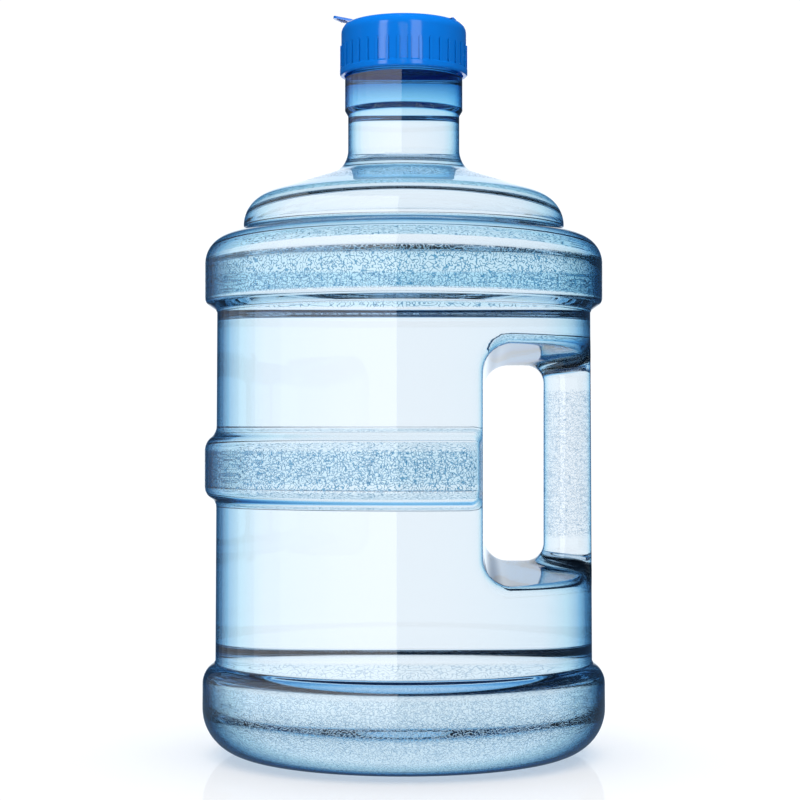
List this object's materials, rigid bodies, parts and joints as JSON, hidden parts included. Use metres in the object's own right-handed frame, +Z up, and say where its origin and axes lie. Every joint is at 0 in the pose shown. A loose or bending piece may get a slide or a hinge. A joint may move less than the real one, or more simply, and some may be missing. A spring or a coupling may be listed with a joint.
{
  "type": "water jug",
  "caption": "Large round clear-blue refillable water jug with hoop bands, a hollow moulded-in side handle and a ribbed screw cap with a dust lid.",
  "frame": {"origin": "centre of the foot ring, on the plane that the jug stands on", "axes": "+Z up along the jug's axis, +X towards the handle, -Y towards the viewer"},
  "size_m": [0.2004, 0.2004, 0.3694],
  "materials": {
    "clear_polycarbonate": "clear blue blow-moulded polycarbonate, polished, with a fine moulded texture on the bands, the base and the grip",
    "blue_polypropylene": "opaque blue injection-moulded polypropylene, semi-gloss",
    "silicone": "translucent white silicone",
    "natural_polyethylene": "natural white polyethylene",
    "stainless_steel": "drawn stainless wire"
  },
  "bodies": {
    "jug": {"jug_body": "clear_polycarbonate"},
    "seal": {"seal_ring": "silicone"},
    "cap": {"screw_cap": "blue_polypropylene", "lid_hinge_pin": "stainless_steel"},
    "lid": {"dust_lid": "blue_polypropylene"},
    "plug": {"dispenser_plug": "natural_polyethylene"}
  },
  "joints": [
    {"name": "cap_rise", "type": "slide", "parent": "jug", "child": "seal", "axis": [0, 0, 1], "range_m": [0, 0.00901]},
    {"name": "cap_turn", "type": "hinge", "parent": "seal", "child": "cap", "pos_m": [0, 0, 0.35], "axis": [0, 0, 1], "range_deg": [0, 540]},
    {"name": "lid_open", "type": "hinge", "parent": "cap", "child": "lid", "pos_m": [0.02569, -0.00688, 0.363], "axis": [0.2588, 0.9659, 0], "range_deg": [0, 170]},
    {"name": "plug_push", "type": "slide", "parent": "cap", "child": "plug", "axis": [0, 0, -1], "range_m": [0, 0.012]}
  ],
  "couplings": [
    {"joint": "cap_rise", "follows": "cap_turn", "m_per_rad": 0.00095493}
  ]
}
